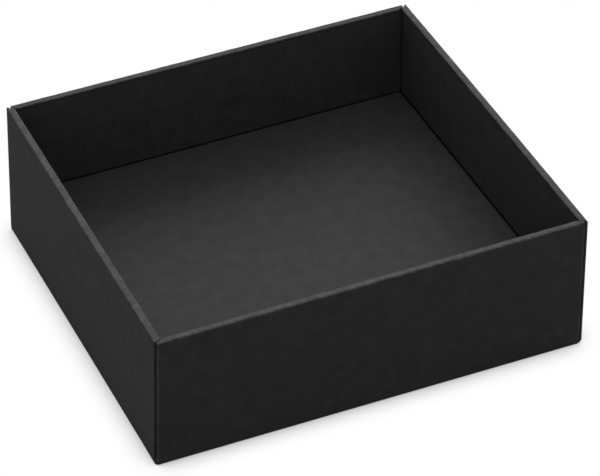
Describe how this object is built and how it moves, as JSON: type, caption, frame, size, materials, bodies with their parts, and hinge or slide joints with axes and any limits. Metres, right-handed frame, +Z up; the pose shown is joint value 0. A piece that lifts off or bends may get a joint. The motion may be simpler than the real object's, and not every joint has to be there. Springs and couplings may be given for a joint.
{
  "type": "paper box",
  "caption": "Open paper box folded from corrugated board, with rolled-over double walls, corner tabs and a raised floor that lifts out.",
  "frame": {"origin": "middle of the base's underside, on the surface that the box stands on", "axes": "+Z up, +X along the front wall to the right, -Y towards the front wall"},
  "size_m": [0.31, 0.28, 0.104],
  "materials": {
    "black_board": "matt black liner",
    "folded_rim_board": "matt black liner, greyed along the folds",
    "floor_board": "matt black liner"
  },
  "bodies": {
    "tray": {"base_panel": "black_board", "front_outer_wall": "black_board", "back_outer_wall": "black_board"},
    "left_side": {"left_outer_wall": "black_board", "left_front_tab": "black_board", "left_back_tab": "black_board"},
    "right_side": {"right_outer_wall": "black_board", "right_front_tab": "black_board", "right_back_tab": "black_board"},
    "front_rim_strip": {"front_rim": "folded_rim_board"},
    "back_rim_strip": {"back_rim": "folded_rim_board"},
    "left_rim_strip": {"left_rim": "folded_rim_board"},
    "right_rim_strip": {"right_rim": "folded_rim_board"},
    "front_inner": {"front_inner_wall": "black_board"},
    "back_inner": {"back_inner_wall": "black_board"},
    "left_inner": {"left_inner_wall": "black_board"},
    "right_inner": {"right_inner_wall": "black_board"},
    "floor_insert": {"raised_floor": "floor_board"},
    "front_leg": {"floor_leg_front": "floor_board"},
    "back_leg": {"floor_leg_back": "floor_board"},
    "left_leg": {"floor_leg_left": "floor_board"},
    "right_leg": {"floor_leg_right": "floor_board"}
  },
  "joints": [
    {"name": "left_side_fold", "type": "hinge", "parent": "tray", "child": "left_side", "pos_m": [-0.155, 0, 0], "axis": [0, -1, 0], "range_deg": [0, 90]},
    {"name": "right_side_fold", "type": "hinge", "parent": "tray", "child": "right_side", "pos_m": [0.155, 0, 0], "axis": [0, 1, 0], "range_deg": [0, 90]},
    {"name": "front_rim_fold", "type": "hinge", "parent": "tray", "child": "front_rim_strip", "pos_m": [0, -0.14, 0.104], "axis": [1, 0, 0], "range_deg": [0, 90]},
    {"name": "back_rim_fold", "type": "hinge", "parent": "tray", "child": "back_rim_strip", "pos_m": [0, 0.14, 0.104], "axis": [-1, 0, 0], "range_deg": [0, 90]},
    {"name": "left_rim_fold", "type": "hinge", "parent": "left_side", "child": "left_rim_strip", "pos_m": [-0.155, 0, 0.104], "axis": [0, -1, 0], "range_deg": [0, 90]},
    {"name": "right_rim_fold", "type": "hinge", "parent": "right_side", "child": "right_rim_strip", "pos_m": [0.155, 0, 0.104], "axis": [0, 1, 0], "range_deg": [0, 90]},
    {"name": "front_inner_fold", "type": "hinge", "parent": "front_rim_strip", "child": "front_inner", "pos_m": [0, -0.1349, 0.104], "axis": [1, 0, 0], "range_deg": [0, 90]},
    {"name": "back_inner_fold", "type": "hinge", "parent": "back_rim_strip", "child": "back_inner", "pos_m": [0, 0.1349, 0.104], "axis": [-1, 0, 0], "range_deg": [0, 90]},
    {"name": "left_inner_fold", "type": "hinge", "parent": "left_rim_strip", "child": "left_inner", "pos_m": [-0.1499, 0, 0.104], "axis": [0, -1, 0], "range_deg": [0, 90]},
    {"name": "right_inner_fold", "type": "hinge", "parent": "right_rim_strip", "child": "right_inner", "pos_m": [0.1499, 0, 0.104], "axis": [0, 1, 0], "range_deg": [0, 90]},
    {"name": "floor_lift", "type": "slide", "parent": "tray", "child": "floor_insert", "axis": [0, 0, 1], "range_m": [0, 0.11]},
    {"name": "front_leg_fold", "type": "hinge", "parent": "floor_insert", "child": "front_leg", "pos_m": [0, -0.13265, 0.03035], "axis": [1, 0, 0], "range_deg": [0, 90]},
    {"name": "back_leg_fold", "type": "hinge", "parent": "floor_insert", "child": "back_leg", "pos_m": [0, 0.13265, 0.03035], "axis": [-1, 0, 0], "range_deg": [0, 90]},
    {"name": "left_leg_fold", "type": "hinge", "parent": "floor_insert", "child": "left_leg", "pos_m": [-0.14765, 0, 0.03035], "axis": [0, -1, 0], "range_deg": [0, 90]},
    {"name": "right_leg_fold", "type": "hinge", "parent": "floor_insert", "child": "right_leg", "pos_m": [0.14765, 0, 0.03035], "axis": [0, 1, 0], "range_deg": [0, 90]}
  ]
}
